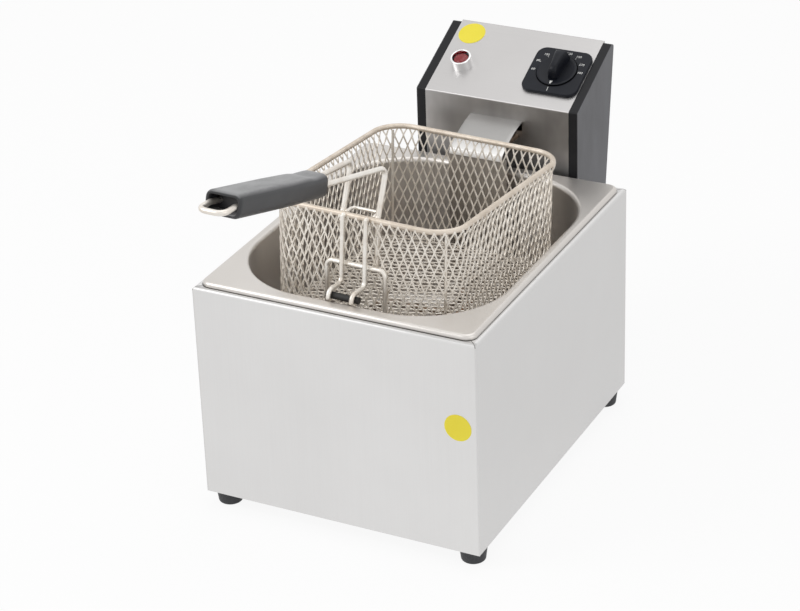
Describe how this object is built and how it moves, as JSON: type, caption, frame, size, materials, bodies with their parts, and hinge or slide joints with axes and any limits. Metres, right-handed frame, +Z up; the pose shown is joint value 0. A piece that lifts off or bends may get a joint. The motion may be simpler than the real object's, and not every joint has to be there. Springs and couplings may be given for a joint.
{
  "type": "deep fryer",
  "caption": "Countertop deep fryer: folded steel casing, lift-out oil pan, mesh basket hooked to drain, and a rear control head with dial, lamp and immersed element.",
  "frame": {"origin": "on the table surface, in the middle of the object's whole width and whole length, basket handle and control head included", "axes": "+X to the object's right as the user at the front sees it, +Y from the basket handle at the front towards the control head at the back, +Z up"},
  "size_m": [0.274, 0.6037, 0.4052],
  "materials": {
    "casing_steel": "brushed stainless sheet",
    "pan_steel": "satin stainless, drawn tank",
    "plate_steel": "plain zinc-grey sheet",
    "foot_rubber": "matt dark rubber",
    "fastener_steel": "plated screws and nuts",
    "basket_wire": "warm nickel-plated wire",
    "basket_mesh": "warm nickel-plated expanded mesh",
    "sleeve_black": "black heat-proof sleeve",
    "grip_plastic": "dark grey moulded grip",
    "cheek_plastic": "black moulded end cheeks",
    "element_metal": "heat-stained element sheath",
    "ceramic_white": "white insulators",
    "control_body": "pale control bodies",
    "copper": "copper capillary and bulb",
    "cutout_brown": "brown phenolic",
    "gland_black": "black nylon gland",
    "dial_black": "satin black dial",
    "lamp_chrome": "polished bezel",
    "lamp_red": "dark red lens"
  },
  "bodies": {
    "casing": {"outer_casing": "casing_steel", "base_plate": "plate_steel", "rubber_feet": "foot_rubber", "foot_screws": "fastener_steel", "hanger_rail": "plate_steel", "rail_screws": "fastener_steel"},
    "pan": {"oil_pan": "pan_steel"},
    "head": {"front_panel": "casing_steel", "rear_cover": "plate_steel", "left_cheek": "cheek_plastic", "right_cheek": "cheek_plastic", "cover_screws": "fastener_steel", "head_hanger": "plate_steel", "element_hood": "casing_steel", "element_tube": "element_metal", "element_straps": "plate_steel", "element_flange": "plate_steel", "element_terminals": "ceramic_white", "thermostat_body": "control_body", "thermostat_bulb": "copper", "safety_cutout": "cutout_brown", "terminal_block": "control_body", "cable_gland": "gland_black", "dial_plate": "dial_black", "dial_screws": "fastener_steel", "lamp_bezel": "lamp_chrome", "lamp_lens": "lamp_red", "lamp_body": "gland_black"},
    "basket": {"basket_rim": "basket_wire", "mesh_front": "basket_mesh", "mesh_back": "basket_mesh", "mesh_left": "basket_mesh", "mesh_right": "basket_mesh", "mesh_corners": "basket_mesh", "mesh_floor": "basket_mesh", "seam_wires": "basket_wire", "hook_wires": "basket_wire", "hook_sleeve": "sleeve_black", "brace_wire": "basket_wire", "keeper_wire": "basket_wire", "handle_wire": "basket_wire", "handle_grip": "grip_plastic"},
    "knob": {"control_knob": "dial_black", "knob_shaft": "fastener_steel"}
  },
  "joints": [
    {"name": "pan_lift", "type": "slide", "parent": "casing", "child": "pan", "axis": [0, 0, 1], "range_m": [0, 0.16]},
    {"name": "head_lift", "type": "slide", "parent": "pan", "child": "head", "axis": [0, 0, 1], "range_m": [0, 0.17]},
    {"name": "basket_lift", "type": "slide", "parent": "head", "child": "basket", "axis": [0, 0, 1], "range_m": [0, 0.12]},
    {"name": "knob_turn", "type": "hinge", "parent": "head", "child": "knob", "pos_m": [0.0455, 0.25395, 0.3063], "axis": [0, 0.4131, -0.9107], "range_deg": [0, 300]}
  ]
}
